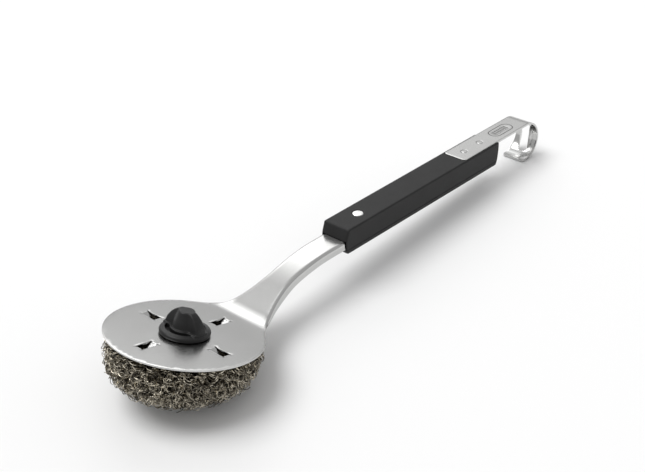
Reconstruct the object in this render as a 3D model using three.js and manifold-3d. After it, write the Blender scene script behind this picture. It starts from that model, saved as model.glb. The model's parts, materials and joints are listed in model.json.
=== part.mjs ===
// Grill cleaning brush: a round steel head on a bent shank, a screw-clamped knitted scouring pad
// under it, a black two-shell handle and a hooked steel hanger strip.
// Units are millimetres. The part lies as it does on a table: +Z up, +X from the head to the hook,
// resting on the flat of the pad and the bottom of the hook.
//
// Three nested frames are used.
//   head frame:   origin on the disc's top face at its centre, +X to the handle, +Z along the knob's axis
//   handle frame: origin on the handle's top front edge, +X along the handle, +Z out of its top face
//   pad frame:    origin at the pad's middle, +Z along the pad's own axis
import * as THREE from "three";
import { mergeVertices } from "three/addons/utils/BufferGeometryUtils.js";
import Module from "manifold-3d";

const wasm = await Module();
wasm.setup();

// ---------------------------------------------------------------- driving dimensions
const SHEET = 1.5; // thickness of the head's and the hanger's stainless sheet
const GAP = 0.3; // clearance between neighbouring pieces
const SEAM = 0.2; // visible seam between the two handle shells

const DISC_R = 50;
const BEND_START = 44.4; // from the disc's centre to the start of the neck's bend
const BEND_R = 26;
const RISE = THREE.MathUtils.degToRad(33); // steepest slope of the shank, from the disc's plane
const RISE_LEN = 18;
const CROWN_R = 150;
const PITCH = THREE.MathUtils.degToRad(13.3); // slope of the handle, from the disc's plane
const NECK_U = 88; // where the shank is narrowest
const NECK_W = 9.6; // half widths
const MOUTH_W = 10.2;
const FLANGE = 4.5; // depth of the shank's down-turned edges

const SLOT_R = 30.6; // slot centres from the disc's centre
const SLOT_L = 12.8;
const SLOT_W = 6;
const CLAW_W = 4.8;
const CLAW_R = 3.4; // outside radius of a claw's curl
const CLAW_T = 1.1;

const PAD_R = 48.6;
const PAD_H = 23.5; // half height of the uncut pad
const PAD_TILT = THREE.MathUtils.degToRad(8.6); // the pad's axis leans back from the knob's axis
const PAD_X = 0.8;
const PAD_Z = -15.2;
const PAD_TOP = -1.8;
const PAD_HOLE = 7.5;
const RECESS_R = 17.4;

const STUD_R = 2.85;
const STUD_END = -31;
const DISH_TOP = -22.8;
const DISH_R = 16.5;
const DISH_T = 1.2;

const KNOB_R = 16;
const KNOB_H = 15.4;
const KNOB_RIM = 3.4;

const HANDLE_X = 133.2; // top front edge of the handle, in the head frame
const HANDLE_Z = 45.7;
const HANDLE_L = 171;
const HANDLE_W = 11.3; // half width
const HANDLE_H = 18.6;
const PART_T = -14.7; // height of the seam between the shells
const TANG_T = -8.4; // top face of the tang
const WALL = 2.3;

const STRIP_S = 130.9; // front end of the hanger strip
const STRIP_W = 10; // half width
const STRIP_T = 0.2; // its top stands this proud of the handle
const HOOK_S = 211;
const HOOK_R = 16; // outside radius
const HOOK_SWEEP = THREE.MathUtils.degToRad(193);
const WINDOW_W = 3.9; // half width of the slot in the hook

const RIVETS = [
  { name: "front", s: 22.1, top: 0, headR: 3.85 },
  { name: "middle", s: 142.8, top: STRIP_T, headR: 2.4 },
  { name: "rear", s: 162.2, top: STRIP_T, headR: 2.4 },
];
const RIVET_HEAD_T = 1;
const RIVET_TUBE_R = 2.2;
const RIVET_PIN_R = 1.2;
const RIVET_BASE_R = 3.85;

// ---------------------------------------------------------------- materials
function metal(color, roughness) {
  return new THREE.MeshStandardMaterial({ color, roughness, metalness: 1 });
}
function plastic(color, roughness) {
  return new THREE.MeshStandardMaterial({ color, roughness, metalness: 0 });
}
const STAINLESS = 0xc4c5c4;
const ZINC = 0xb2b4b6;
const BLACK = 0x1c1c1d;

// ---------------------------------------------------------------- solids
function solid(geometry, matrix = new THREE.Matrix4()) {
  const g = geometry.clone().applyMatrix4(matrix);
  g.deleteAttribute("normal");
  g.deleteAttribute("uv");
  const merged = mergeVertices(g, 1e-4);
  const vertProperties = merged.attributes.position.array;
  const triVerts = merged.index.array;
  const body = new wasm.Manifold(new wasm.Mesh({ numProp: 3, vertProperties, triVerts }));
  if (body.volume() > 0) return body;
  // The outline ran the other way round, so every face is turned over.
  const turned = triVerts.slice().reverse();
  return new wasm.Manifold(new wasm.Mesh({ numProp: 3, vertProperties, triVerts: turned }));
}

function add(group, name, body, material) {
  const data = body.getMesh();
  const geometry = new THREE.BufferGeometry();
  geometry.setAttribute("position", new THREE.BufferAttribute(new Float32Array(data.vertProperties), 3));
  geometry.setIndex(new THREE.BufferAttribute(new Uint32Array(data.triVerts), 1));
  geometry.computeVertexNormals();
  const mesh = new THREE.Mesh(geometry, material);
  mesh.name = name;
  group.add(mesh);
}

function move(x, y, z) {
  return new THREE.Matrix4().makeTranslation(x, y, z);
}

function block(x0, x1, y0, y1, z0, z1) {
  const box = new THREE.BoxGeometry(x1 - x0, y1 - y0, z1 - z0);
  return solid(box, move((x0 + x1) / 2, (y0 + y1) / 2, (z0 + z1) / 2));
}

// Upright prism or cylinder about the vertical line through (x, y).
function post(x, y, r, z0, z1, sides = 24) {
  const cylinder = new THREE.CylinderGeometry(r, r, z1 - z0, sides);
  cylinder.rotateX(Math.PI / 2);
  return solid(cylinder, move(x, y, (z0 + z1) / 2));
}

// Revolves a closed outline of [radius, z] points about the Z axis.
function revolve(points, segments = 40) {
  const outline = points.map(([r, z]) => new THREE.Vector2(r, z));
  outline.push(outline[0].clone());
  const lathe = new THREE.LatheGeometry(outline, segments);
  lathe.rotateX(Math.PI / 2);
  return solid(lathe);
}

function extrude(shape, depth, curveSegments = 16) {
  return new THREE.ExtrudeGeometry(shape, { depth, bevelEnabled: false, curveSegments });
}

// Outline in the XZ plane, extruded along Y from -half to +half.
function sideways(points, half) {
  const geometry = extrude(new THREE.Shape(points.map(([x, z]) => new THREE.Vector2(x, z))), 2 * half);
  geometry.rotateX(Math.PI / 2);
  return solid(geometry, move(0, half, 0));
}

// Outline in the XY plane, extruded along Z.
function upright(shape, z0, z1, curveSegments = 16) {
  return solid(extrude(shape, z1 - z0, curveSegments), move(0, 0, z0));
}

function mirrored(half) {
  const other = half.map(([x, y]) => [x, -y]).reverse();
  return new THREE.Shape([...half, ...other].map(([x, y]) => new THREE.Vector2(x, y)));
}

function arc(cx, cy, r, from, to, steps) {
  return Array.from({ length: steps + 1 }, (_, i) => {
    const a = from + ((to - from) * i) / steps;
    return [cx + r * Math.cos(a), cy + r * Math.sin(a)];
  });
}

// ---------------------------------------------------------------- frames
const handleMatrix = new THREE.Matrix4()
  .makeTranslation(HANDLE_X, 0, HANDLE_Z)
  .multiply(new THREE.Matrix4().makeRotationY(-PITCH));
const hookCentre = new THREE.Vector3(HOOK_S, 0, STRIP_T - HOOK_R).applyMatrix4(handleMatrix);

// The floor touches the hook's circle and lies FLOOR_DROP below the disc's centre.
const FLOOR_DROP = 39;
const reach = Math.hypot(hookCentre.x, hookCentre.z);
const REST_TILT = Math.atan2(hookCentre.z, hookCentre.x) - Math.asin((HOOK_R - FLOOR_DROP) / reach);

// ---------------------------------------------------------------- head plate
// Top line of the plate's side profile: flat disc, bend up, straight rise, crown, straight tang.
function profileAt(depth) {
  const run = [
    { length: DISC_R + BEND_START, turn: 0, steps: 1 },
    { length: BEND_R * RISE, turn: RISE, steps: 7 },
    { length: RISE_LEN, turn: 0, steps: 1 },
    { length: CROWN_R * (RISE - PITCH), turn: PITCH - RISE, steps: 8 },
    { length: 200, turn: 0, steps: 1 },
  ];
  const points = [];
  let x = -DISC_R;
  let z = 0;
  let heading = 0;
  const place = () => points.push([x + depth * Math.sin(heading), z - depth * Math.cos(heading)]);
  place();
  for (const { length, turn, steps } of run) {
    for (let i = 0; i < steps; i += 1) {
      const chord = turn === 0 ? length : (2 * length * Math.sin(turn / steps / 2)) / turn;
      heading += turn / steps / 2;
      x += chord * Math.cos(heading);
      z += chord * Math.sin(heading);
      heading += turn / steps / 2;
      place();
    }
  }
  return points;
}

function band(top, bottom) {
  return sideways([...profileAt(bottom), ...profileAt(top).reverse()], DISC_R + 5);
}

const TANG_END = HANDLE_X + (HANDLE_L - 6) * Math.cos(PITCH);
const MOUTH_END = HANDLE_X + 8 * Math.cos(PITCH);

// Half of the plate's plan: disc, concave flare of one arc, slightly widening shank, narrow tang.
function planHalf(inset) {
  const flareR = (NECK_U ** 2 / (DISC_R - NECK_W) - DISC_R - NECK_W) / 2;
  const flareY = NECK_W + flareR;
  const meet = Math.atan2(flareY, NECK_U);
  const tangW = 6.5 - inset;
  return [
    ...arc(0, 0, DISC_R - inset, Math.PI, meet, 36),
    ...arc(NECK_U, flareY, flareR + inset, Math.PI + meet, 1.5 * Math.PI, 12).slice(1),
    [MOUTH_END - inset, MOUTH_W - inset],
    [MOUTH_END - inset, tangW],
    [TANG_END - 3, tangW],
    [TANG_END, tangW - 3],
  ];
}

function claw() {
  const start = Math.PI / 2;
  const sweep = THREE.MathUtils.degToRad(82);
  const outer = arc(0, -CLAW_R, CLAW_R, start, start - sweep, 5);
  const inner = arc(0, -CLAW_R, CLAW_R - CLAW_T, start - sweep, start, 5);
  const root = [
    [-1.5, -CLAW_T],
    [-1.5, 0],
  ];
  return sideways([...outer, ...inner, ...root].reverse(), CLAW_W / 2);
}

function headPlate() {
  const plan = upright(mirrored(planHalf(0)), -20, 110);
  const inner = upright(mirrored(planHalf(SHEET)), -30, 120);
  const ramp = sideways(
    [
      [BEND_START + 3, 3],
      [BEND_START + 3, -SHEET],
      [BEND_START + 34, 3],
      [MOUTH_END - 0.01, 14],
      [MOUTH_END - 0.01, 90],
      [BEND_START + 3, 90],
    ],
    DISC_R,
  );
  const flanges = band(SHEET / 2, SHEET + FLANGE).intersect(plan.subtract(inner)).intersect(ramp);
  let plate = band(0, SHEET).intersect(plan).add(flanges);
  plate = plate.subtract(post(0, 0, STUD_R + 0.5, -5, 5));
  for (let k = 0; k < 4; k += 1) {
    const turn = new THREE.Matrix4().makeRotationZ((k * Math.PI) / 2);
    const half = SLOT_L / 2;
    plate = plate.subtract(
      solid(new THREE.BoxGeometry(SLOT_L, SLOT_W, 10), turn.clone().multiply(move(SLOT_R, 0, 0))),
    );
    const claws = claw().translate([SLOT_R - half, 0, 0]).add(
      claw().scale([-1, 1, 1]).translate([SLOT_R + half, 0, 0]),
    );
    plate = plate.add(claws.rotate([0, 0, k * 90]));
  }
  for (const { s } of RIVETS) {
    const hole = new THREE.CylinderGeometry(RIVET_TUBE_R + GAP, RIVET_TUBE_R + GAP, 12, 20);
    hole.rotateX(Math.PI / 2);
    plate = plate.subtract(solid(hole, handleMatrix.clone().multiply(move(s, 0, TANG_T))));
  }
  return plate;
}

// ---------------------------------------------------------------- knob and clamp
function knobGrip() {
  const base = revolve([
    [0, GAP],
    [KNOB_R - 0.8, GAP],
    [KNOB_R, GAP + 0.8],
    [KNOB_R, KNOB_RIM - 1],
    [KNOB_R - 0.7, KNOB_RIM],
    [9, KNOB_RIM + 1.6],
    [0, KNOB_RIM + 1.6],
  ]);
  // A wing across the knob, thick at its foot and narrow at its crest, in a dome's outline.
  const wing = sideways(
    [
      [-4.6, 1],
      [4.6, 1],
      [4, KNOB_H * 0.6],
      [2.6, KNOB_H],
      [-2.6, KNOB_H],
      [-4, KNOB_H * 0.6],
    ],
    KNOB_R + 2,
  );
  const dome = revolve([
    [0, 0],
    [KNOB_R - 0.4, 0],
    [KNOB_R - 0.4, KNOB_RIM],
    [14.2, 8],
    [11.4, 12],
    [8.4, KNOB_H - 1.2],
    [5.5, KNOB_H],
    [0, KNOB_H],
  ]);
  const hub = revolve([[0, 0], [8.4, 0], [7.6, 9], [5.4, KNOB_H - 0.5], [0, KNOB_H]], 28);
  const socket = post(0, 0, 5.9 + GAP, 5, 9.3, 6);
  const bore = post(0, 0, STUD_R + GAP, -1, 6);
  const washerSeat = post(0, 0, 9, -1, 1.5, 32);
  return base.add(wing.intersect(dome)).add(hub).subtract(socket).subtract(bore).subtract(washerSeat);
}

function knobStud() {
  const groove = ring(STUD_R - 0.5, STUD_R + 1, -2.9, -1.9);
  return post(0, 0, 5.6, 5.3, 9, 6).add(post(0, 0, STUD_R, STUD_END, 6)).subtract(groove);
}

function ring(inner, outer, z0, z1) {
  return revolve([[inner, z0], [outer, z0], [outer, z1], [inner, z1]], 32);
}

function retainingRing() {
  const mouth = block(0, 8, -1.6, 1.6, -5, 0);
  return ring(STUD_R - 0.2, 5.4, -2.8, -2).subtract(mouth);
}

function clampDish() {
  const z = DISH_TOP;
  return revolve([
    [STUD_R + 0.5, z],
    [12, z],
    [DISH_R, z - 2.2],
    [DISH_R, z - 3.6],
    [DISH_R - DISH_T, z - 3.6],
    [DISH_R - DISH_T, z - 2.9],
    [11.6, z - DISH_T],
    [STUD_R + 0.5, z - DISH_T],
  ]);
}

function clampNut() {
  const top = DISH_TOP - DISH_T - GAP;
  return post(0, 0, 5.8, top - 5, top, 6).subtract(post(0, 0, STUD_R + GAP, top - 6, top + 1));
}

// Fuller above its widest ring than below it, cut flat by the plate above and the floor below.
function scouringPad() {
  const outline = [[0, -PAD_H]];
  const steps = 14;
  for (let i = 1; i < steps; i += 1) {
    const a = -Math.PI / 2 + (Math.PI * i) / steps;
    const power = a < 0 ? 0.8 : 0.55;
    outline.push([PAD_R * Math.cos(a) ** power, PAD_H * Math.sign(a) * Math.abs(Math.sin(a)) ** power]);
  }
  outline.push([0, PAD_H]);
  const lathe = new THREE.LatheGeometry(outline.map(([r, z]) => new THREE.Vector2(r, z)), 56);
  lathe.rotateX(Math.PI / 2);
  const lean = move(PAD_X, 0, PAD_Z).multiply(new THREE.Matrix4().makeRotationY(-PAD_TILT));
  let pad = solid(lathe, lean);
  pad = pad.intersect(block(-80, 80, -80, 80, -80, PAD_TOP));
  const aboveFloor = new THREE.BoxGeometry(300, 300, 100);
  const floor = new THREE.Matrix4().makeRotationY(-REST_TILT).multiply(move(0, 0, 50 - FLOOR_DROP));
  pad = pad.intersect(solid(aboveFloor, floor));
  pad = pad.subtract(post(0, 0, PAD_HOLE, -60, 0, 32));
  pad = pad.subtract(post(0, 0, RECESS_R, -60, DISH_TOP + GAP, 40));
  for (let k = 0; k < 4; k += 1) {
    const pocket = block(SLOT_R - 7, SLOT_R + 7, -3.2, 3.2, -CLAW_R - 2.4, 0);
    pad = pad.subtract(pocket.rotate([0, 0, k * 90]));
  }
  return pad;
}

// ---------------------------------------------------------------- handle
function crossSection() {
  const r = 1.6;
  const half = [
    ...arc(HANDLE_W - r, -r, r, Math.PI / 2, 0, 4),
    [HANDLE_W, PART_T],
    ...arc(HANDLE_W - 2, -HANDLE_H + 1.6, 1.6, -0.3, -Math.PI / 2, 4),
  ];
  const other = half.map(([y, t]) => [-y, t]).reverse();
  const shape = new THREE.Shape([...half, ...other].map(([y, t]) => new THREE.Vector2(y, t)));
  const geometry = extrude(shape, HANDLE_L + 20);
  // Shape X becomes Y and shape Y becomes Z; the extrusion runs along X.
  const turn = new THREE.Matrix4().makeBasis(
    new THREE.Vector3(0, 1, 0),
    new THREE.Vector3(0, 0, 1),
    new THREE.Vector3(1, 0, 0),
  );
  return solid(geometry, move(-10, 0, 0).multiply(turn));
}

function handleBlock() {
  const outline = [
    [0, 0],
    [-2.9, TANG_T],
    [-2.6, PART_T],
    [-1, -HANDLE_H + 0.6],
    [0, -HANDLE_H],
    [HANDLE_L - 1.6, -HANDLE_H],
    [HANDLE_L, -HANDLE_H + 1.6],
    [HANDLE_L, -1.6],
    [HANDLE_L - 1.2, 0],
  ];
  return crossSection().intersect(sideways(outline, HANDLE_W + 1));
}

function mouth() {
  return block(-8, 8.6, -MOUTH_W - GAP, MOUTH_W + GAP, PART_T - 0.1, TANG_T + GAP);
}

function upperShell() {
  let shell = handleBlock().intersect(block(-10, HANDLE_L + 5, -20, 20, PART_T, 5));
  const cavity = block(11, HANDLE_L - WALL, -HANDLE_W + WALL, HANDLE_W - WALL, PART_T - 1, -2.9);
  shell = shell.subtract(cavity).subtract(mouth());
  shell = shell.subtract(block(8, 12, -6.8, 6.8, PART_T - 1, TANG_T + GAP));
  for (const { s } of RIVETS) {
    shell = shell.add(post(s, 0, 5, TANG_T + GAP, -2.5));
  }
  const strip = mirrored([
    ...arc(STRIP_S + 3, STRIP_W - 3, 3 + GAP, Math.PI, Math.PI / 2, 5),
    [HANDLE_L + 5, STRIP_W + GAP],
  ]);
  shell = shell.subtract(upright(strip, STRIP_T - SHEET - GAP, 5));
  for (const { s, top, headR } of RIVETS) {
    shell = shell.subtract(post(s, 0, RIVET_TUBE_R + GAP, -20, 5, 20));
    shell = shell.subtract(post(s, 0, headR + GAP, top - RIVET_HEAD_T - GAP, 5, 28));
  }
  return shell;
}

function lowerShell() {
  let shell = handleBlock().intersect(block(-10, HANDLE_L + 5, -20, 20, -30, PART_T - SEAM));
  const inside = HANDLE_W - WALL - 0.8;
  shell = shell.subtract(block(11, HANDLE_L - WALL, -inside, inside, -HANDLE_H + 2.4, 0));
  for (const { s } of RIVETS) {
    shell = shell.add(post(s, 0, 5, -HANDLE_H + 2, TANG_T - SHEET - GAP));
    shell = shell.subtract(post(s, 0, RIVET_TUBE_R + GAP, -12.6, 0, 20));
    shell = shell.subtract(post(s, 0, RIVET_PIN_R + GAP, -25, 0, 16));
    shell = shell.subtract(post(s, 0, RIVET_BASE_R + GAP, -25, -HANDLE_H + RIVET_HEAD_T + GAP, 28));
  }
  return shell;
}

// Female half: flush head on top and a tube down through the tang.
function rivetTube({ s, top, headR }) {
  const head = revolve([
    [0, top - RIVET_HEAD_T],
    [headR, top - RIVET_HEAD_T],
    [headR, top - 0.25],
    [headR - 0.4, top],
    [0, top],
  ], 28);
  const tube = post(0, 0, RIVET_TUBE_R, -12.3, top - 0.5, 20);
  return head.add(tube).subtract(post(0, 0, RIVET_PIN_R + GAP, -20, -4, 16)).translate([s, 0, 0]);
}

// Male half: head under the handle and a pin up inside the tube.
function rivetPin({ s }) {
  const head = post(0, 0, RIVET_BASE_R, -HANDLE_H, -HANDLE_H + RIVET_HEAD_T, 28);
  return head.add(post(0, 0, RIVET_PIN_R, -HANDLE_H + 0.5, -5, 16)).translate([s, 0, 0]);
}

function hangerStrip() {
  const centre = STRIP_T - HOOK_R;
  const start = Math.PI / 2;
  const outer = arc(HOOK_S, centre, HOOK_R, start, start - HOOK_SWEEP, 26);
  const inner = arc(HOOK_S, centre, HOOK_R - SHEET, start - HOOK_SWEEP, start, 26);
  const outline = [[STRIP_S, STRIP_T], ...outer, ...inner, [STRIP_S, STRIP_T - SHEET]];
  let strip = sideways(outline, STRIP_W);
  const plan = mirrored([
    ...arc(STRIP_S + 3, STRIP_W - 3, 3, Math.PI, Math.PI / 2, 5),
    [HOOK_S + HOOK_R + 5, STRIP_W],
  ]);
  strip = strip.intersect(upright(plan, -50, 5));
  for (const side of [-1, 1]) {
    const corner = new THREE.BoxGeometry(4, 4, 6);
    corner.rotateZ(Math.PI / 4);
    const tip = HOOK_S + HOOK_R * Math.cos(start - HOOK_SWEEP);
    strip = strip.subtract(solid(corner, move(tip - 0.8, side * (STRIP_W + 0.8), centre - HOOK_R + 2)));
  }
  const low = centre - HOOK_R * 0.86;
  const high = centre + HOOK_R * 0.7;
  const slot = new THREE.Shape();
  slot.absarc(0, high - WINDOW_W, WINDOW_W, 0, Math.PI);
  slot.absarc(0, low + WINDOW_W, WINDOW_W, Math.PI, 2 * Math.PI);
  const turn = new THREE.Matrix4().makeBasis(
    new THREE.Vector3(0, 1, 0),
    new THREE.Vector3(0, 0, 1),
    new THREE.Vector3(1, 0, 0),
  );
  strip = strip.subtract(solid(extrude(slot, 30, 6), move(HOOK_S + 2, 0, 0).multiply(turn)));
  for (const { s, headR } of RIVETS.slice(1)) {
    strip = strip.subtract(post(s, 0, headR + GAP, -5, 5, 28));
  }
  return strip;
}

// ---------------------------------------------------------------- assembly
const head = new THREE.Group();
add(head, "head_plate", headPlate(), metal(STAINLESS, 0.32));
add(head, "thrust_washer", ring(STUD_R + 0.5, 8.4, GAP, 1.2), metal(ZINC, 0.35));
add(head, "knob_grip", knobGrip(), plastic(BLACK, 0.5));
add(head, "knob_stud", knobStud(), metal(ZINC, 0.3));
add(head, "retaining_ring", retainingRing(), metal(ZINC, 0.4));
add(head, "clamp_dish", clampDish(), metal(STAINLESS, 0.35));
add(head, "clamp_nut", clampNut(), metal(ZINC, 0.35));
add(head, "scouring_pad", scouringPad(), metal(0x8f8672, 0.45));

const handle = new THREE.Group();
handle.position.set(HANDLE_X, 0, HANDLE_Z);
handle.rotation.y = -PITCH;
add(handle, "handle_upper_shell", upperShell(), plastic(BLACK, 0.5));
add(handle, "handle_lower_shell", lowerShell(), plastic(BLACK, 0.5));
add(handle, "hanger_strip", hangerStrip(), metal(STAINLESS, 0.3));
for (const rivet of RIVETS) {
  add(handle, `${rivet.name}_rivet_tube`, rivetTube(rivet), metal(STAINLESS, 0.25));
  add(handle, `${rivet.name}_rivet_pin`, rivetPin(rivet), metal(STAINLESS, 0.25));
}
head.add(handle);

// The head frame is tilted into the resting position; the origin is under the middle of the length.
head.rotation.y = REST_TILT;
head.position.z = FLOOR_DROP;
const box = new THREE.Box3().setFromObject(head, true);
head.position.x = -(box.min.x + box.max.x) / 2;

const brush = new THREE.Group();
brush.add(head);
brush.updateMatrixWorld(true);

export default brush;
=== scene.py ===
"""Grill cleaning brush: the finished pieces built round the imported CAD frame.

Lengths in the shape functions are millimetres in one of two frames, and a piece's mesh is moved
into the row frame, in metres, when it is made:
  HEAD    origin on the disc's top face at its centre, +X to the handle, +Z along the knob's axis
  HANDLE  origin on the handle's top front edge, +X along the handle, +Z out of its top face
"""
import json
import math

import bmesh
import bpy
import numpy as np
from mathutils import Matrix, Vector
from mathutils.geometry import delaunay_2d_cdt


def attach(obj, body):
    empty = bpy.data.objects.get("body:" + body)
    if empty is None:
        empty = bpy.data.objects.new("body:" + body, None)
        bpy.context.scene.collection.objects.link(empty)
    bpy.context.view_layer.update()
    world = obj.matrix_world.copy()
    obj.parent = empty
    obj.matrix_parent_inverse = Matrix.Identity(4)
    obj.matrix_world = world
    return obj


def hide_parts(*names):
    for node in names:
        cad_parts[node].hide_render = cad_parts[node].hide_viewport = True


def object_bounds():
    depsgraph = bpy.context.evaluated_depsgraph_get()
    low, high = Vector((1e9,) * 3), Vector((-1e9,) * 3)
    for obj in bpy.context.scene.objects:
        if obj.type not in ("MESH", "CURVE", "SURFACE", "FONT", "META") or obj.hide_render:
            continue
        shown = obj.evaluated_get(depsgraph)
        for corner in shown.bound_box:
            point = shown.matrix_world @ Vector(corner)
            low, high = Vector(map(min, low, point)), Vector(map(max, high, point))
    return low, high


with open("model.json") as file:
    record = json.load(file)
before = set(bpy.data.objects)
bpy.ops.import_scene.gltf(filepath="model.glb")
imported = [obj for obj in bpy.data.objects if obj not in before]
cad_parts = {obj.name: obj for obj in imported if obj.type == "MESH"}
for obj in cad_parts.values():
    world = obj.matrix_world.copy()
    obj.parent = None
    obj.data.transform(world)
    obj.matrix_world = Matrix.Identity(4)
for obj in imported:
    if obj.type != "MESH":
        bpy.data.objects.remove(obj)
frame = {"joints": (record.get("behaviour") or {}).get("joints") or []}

CAD_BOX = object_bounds()

# ---------------- driving dimensions, millimetres
MM = 0.001
SHEET = 1.5  # thickness of the CAD's sheet metal, and of the hanger strip here
PLATE_T = 0.9  # the head plate is drawn thinner, as its edge reads in the photograph
GAP = 0.3  # clearance between neighbouring pieces

# Head plate: the disc, the bend up to the neck, the shank and its turned-down edges, and the slots.
DISC_R = 50.0
BEND_START, BEND_R, RISE = 44.4, 26.0, math.radians(33)
RISE_LEN, CROWN_R, PITCH = 18.0, 150.0, math.radians(13.3)
NECK_U, NECK_W, MOUTH_W = 88.0, 9.6, 10.2
FLANGE_START, FLANGE_FULL, FLANGE_DEPTH, FLANGE_R = 46.5, 78.0, 6.0, 2.2
SLOT_R, SLOT_L, SLOT_W, SLOT_RELIEF = 30.6, 12.8, 6.0, 0.55
CLAW_W, CLAW_L, CLAW_R, CLAW_TURN = 4.8, 5.4, 1.8, math.radians(38)

# Handle: its top front edge in the head frame, length, half width and height, the heights of its seam
# and tang, and (s, t) points down its front end.
HANDLE_X, HANDLE_Z, HANDLE_L = 133.2, 45.7, 172.4
HANDLE_W, HANDLE_H = 11.3, 18.6
PART_T, SEAM, TANG_T, TANG_W, WALL, BOSS_R = -14.7, 0.2, -8.4, 6.5, 2.3, 5
NOSE = [(0, 0), (-2.9, TANG_T), (-2.6, PART_T), (-1, -18)]
RIVET_TUBE_R, RIVET_PIN_R, RIVET_BASE_R = 2.2, 1.2, 3.85

# Hanger strip: its front end, half width and top, the hook's curl and window, and the badge.
STRIP_S, STRIP_W, STRIP_T = 130.9, 9.8, 0.2
HOOK_S, HOOK_R, HOOK_SWEEP = 211.0, 16.0, math.radians(193)
WINDOW_START, WINDOW_END, WINDOW_W = 12.6, 41.8, 3.9
BADGE_START, BADGE_END, BADGE_W, BADGE_LINE, ENGRAVED = 176.5, 201.5, 5.6, 0.9, 0.18
BAR_COUNT, BAR_START, BAR_PITCH, BAR_L, BAR_W = 7, 181.2, 2.3, 1.3, 2.3

# Each rivet: how far along the handle, the height of its head's top, and the head's radius.
RIVETS = {"front": (22.1, 0.0, 3.85), "middle": (142.8, STRIP_T, 2.4), "rear": (162.2, STRIP_T, 2.4)}

# Knob and clamp.
STUD_R, STUD_END, THREAD, THREAD_DEPTH = 2.85, -31.0, 1.0, 0.5
STUD_HEAD_R, STUD_HEAD_FLAT, NECK_DEPTH = 5.9, 4.85, 0.5
DISH_TOP, DISH_R, DISH_T = -22.8, 16.5, 1.2
KNOB_R, KNOB_H, KNOB_RIM = 16.0, 15.4, 3.4

# Pad: a round body leaning back, squarer above its middle than below, cut by the plate and the floor,
# with a recess for the clamp and pockets for the claws. Its core, a near-black body of painted shade for the
# shaded inside of the pad, lies inside the curls.
PAD_R, PAD_H, PAD_TILT, PAD_X, PAD_Z = 49.1, 23.5, math.radians(8.6), 0.8, -15.2
PAD_TOP, PAD_HOLE, RECESS_R = -1.8, 7.5, 17.4
SHOULDER_POWER, BELLY_POWER = 0.55, 1.0
CORE_INSET, CORE_BELLY_POWER = 6.0, 0.8
POCKET_L, POCKET_W, POCKET_END = 7, 3.4, -5.8

# Curls of the pad's ribbon, and for each layer of them the spacing of its rows and of the curls in a
# row, how deep they sit under the pad's surface, and their radius.
CURL_TURNS, CURL_STEPS, CURL_PITCH = 3, 14, 1.6
RIBBON_W, RIBBON_HALF_T = 0.42, 0.085
CURL_LAYERS = [(5.0, 3.7, 4.7, 2.4), (5.8, 4.5, 3.1, 2.7)]
CURL_PARTS = 3

# ---------------- frames
def head_frame():
    """The head's frame, from the knob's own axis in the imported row."""
    joint = next(j for j in frame["joints"] if j["name"] == "knob_turn")
    z = Vector(joint["axis"]).normalized()
    y = Vector((0, 1, 0))
    turn = Matrix((y.cross(z), y, z)).transposed().to_4x4()
    return Matrix.Translation(joint["pos_m"]) @ turn @ Matrix.Scale(MM, 4)


HEAD = head_frame()
HANDLE = HEAD @ Matrix.Translation((HANDLE_X, 0, HANDLE_Z)) @ Matrix.Rotation(-PITCH, 4, "Y")


# ---------------- making pieces
def mesh_of(name, points, faces):
    """A mesh from an array of points and an array of faces that all have the same number of corners."""
    points = np.asarray(points, np.float32)
    faces = np.asarray(faces, np.int32)
    mesh = bpy.data.meshes.new(name)
    mesh.vertices.add(len(points))
    mesh.vertices.foreach_set("co", points.ravel())
    mesh.loops.add(faces.size)
    mesh.loops.foreach_set("vertex_index", faces.ravel())
    mesh.polygons.add(len(faces))
    mesh.polygons.foreach_set("loop_start", np.arange(0, faces.size, faces.shape[1], dtype=np.int32))
    mesh.update(calc_edges=True)
    mesh.validate()
    return mesh


def add_piece(name, mesh, space, body, material, nodes=(), bevel=0.0, sharp=40):
    """Puts a mesh made in millimetres in its place as a piece that rides on a body."""
    for m in material if isinstance(material, tuple) else (material,):
        mesh.materials.append(m)
    obj = bpy.data.objects.new(name, mesh)
    bpy.context.scene.collection.objects.link(obj)
    if bevel:
        edge = obj.modifiers.new("edge", "BEVEL")
        edge.width = bevel
        edge.segments = 2
        edge.limit_method = "ANGLE"
        edge.angle_limit = math.radians(35)
        graph = bpy.context.evaluated_depsgraph_get()
        obj.data = bpy.data.meshes.new_from_object(obj.evaluated_get(graph))
        obj.data.name = name
        obj.modifiers.clear()
    mesh = obj.data
    mesh.transform(space)
    mesh.polygons.foreach_set("use_smooth", [True] * len(mesh.polygons))
    mesh.set_sharp_from_angle(angle=math.radians(sharp))
    mesh.update()
    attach(obj, body)
    if nodes:
        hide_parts(*nodes)
    return obj


def steps(*spans):
    """Grid coordinates: each span is (start, end, spacing), end to end."""
    found = [spans[0][0]]
    for start, end, spacing in spans:
        count = max(1, round((end - start) / spacing))
        found.extend(start + (end - start) * (i + 1) / count for i in range(count))
    return np.array(found)


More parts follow.
